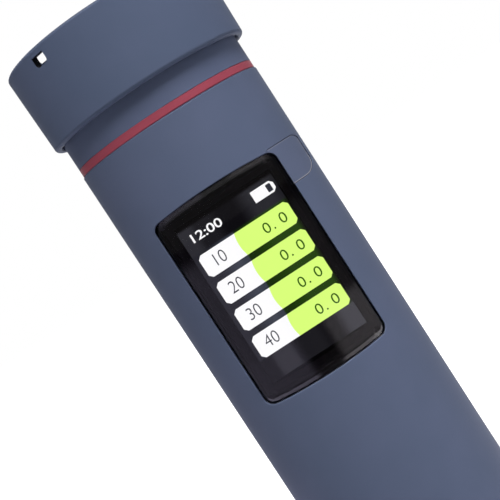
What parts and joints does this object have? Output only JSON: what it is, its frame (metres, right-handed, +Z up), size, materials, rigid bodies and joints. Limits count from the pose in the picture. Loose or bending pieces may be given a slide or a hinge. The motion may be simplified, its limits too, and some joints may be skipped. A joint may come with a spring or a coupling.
{
  "type": "densitometer",
  "caption": "Slim handheld colour and density meter: round barrel with a display window and a flush key, under a push-on cap.",
  "frame": {"origin": "centre of the flat tail, on the surface that the instrument stands on", "axes": "+Z up the barrel from the tail to the cap's end, -Y towards the display, +X towards the measuring key"},
  "size_m": [0.033, 0.033, 0.108],
  "materials": {
    "blue_grey_abs": "soft-touch moulded",
    "red_abs": "satin moulded",
    "smoked_acrylic": "polished",
    "black_adhesive": "matt",
    "display_glass": "lit display under glass",
    "black_nylon": "moulded",
    "black_rubber": "matt",
    "black_foam": "foam",
    "white_ceramic": "glazed",
    "stainless_steel": "satin",
    "clear_glass": "polished",
    "circuit_board": "solder mask",
    "lamp_resin": "clear resin over phosphor",
    "chip_epoxy": "moulded epoxy",
    "shield_tin": "tinned",
    "polyimide": "film",
    "ivory_nylon": "moulded",
    "battery_foil": "laminated foil",
    "lead_insulation": "smooth",
    "plated_steel": "zinc plated"
  },
  "bodies": {
    "housing": {"body_shell": "blue_grey_abs", "tail_cap": "blue_grey_abs", "tail_seal": "black_rubber", "tail_screws": "plated_steel", "accent_ring": "red_abs", "head_shell": "blue_grey_abs", "cap_grip_ring": "black_rubber", "aperture_ring": "stainless_steel", "protective_glass": "clear_glass", "optics_block": "black_nylon", "collector_lens": "clear_glass", "led_board": "circuit_board", "leds": "lamp_resin", "light_baffle": "black_nylon", "optics_screws": "plated_steel", "sensor_board": "circuit_board", "sensor_chip": "chip_epoxy", "sensor_flex": "polyimide", "chassis": "black_nylon", "main_board": "circuit_board", "main_chip": "chip_epoxy", "radio_module": "shield_tin", "board_screws": "plated_steel", "display_window": "smoked_acrylic", "window_gasket": "black_adhesive", "display_panel": "display_glass", "display_frame": "black_nylon", "display_flex": "polyimide", "flex_connector": "ivory_nylon", "battery": "battery_foil", "battery_pad": "black_adhesive", "battery_leads": "lead_insulation", "battery_connector": "ivory_nylon", "usb_connector": "shield_tin", "key_switch": "chip_epoxy"},
    "cap": {"cap_shell": "blue_grey_abs", "calibration_tile": "white_ceramic", "tile_cushion": "black_foam", "tile_retainer": "black_nylon"},
    "key": {"measure_key": "blue_grey_abs", "switch_plunger": "chip_epoxy"}
  },
  "joints": [
    {"name": "cap_pull", "type": "slide", "parent": "housing", "child": "cap", "axis": [0, 0, 1], "range_m": [0, 0.016]},
    {"name": "key_press", "type": "slide", "parent": "housing", "child": "key", "axis": [0, 1, 0], "range_m": [0, 0.0003], "stiffness_N_per_m": 4000}
  ]
}
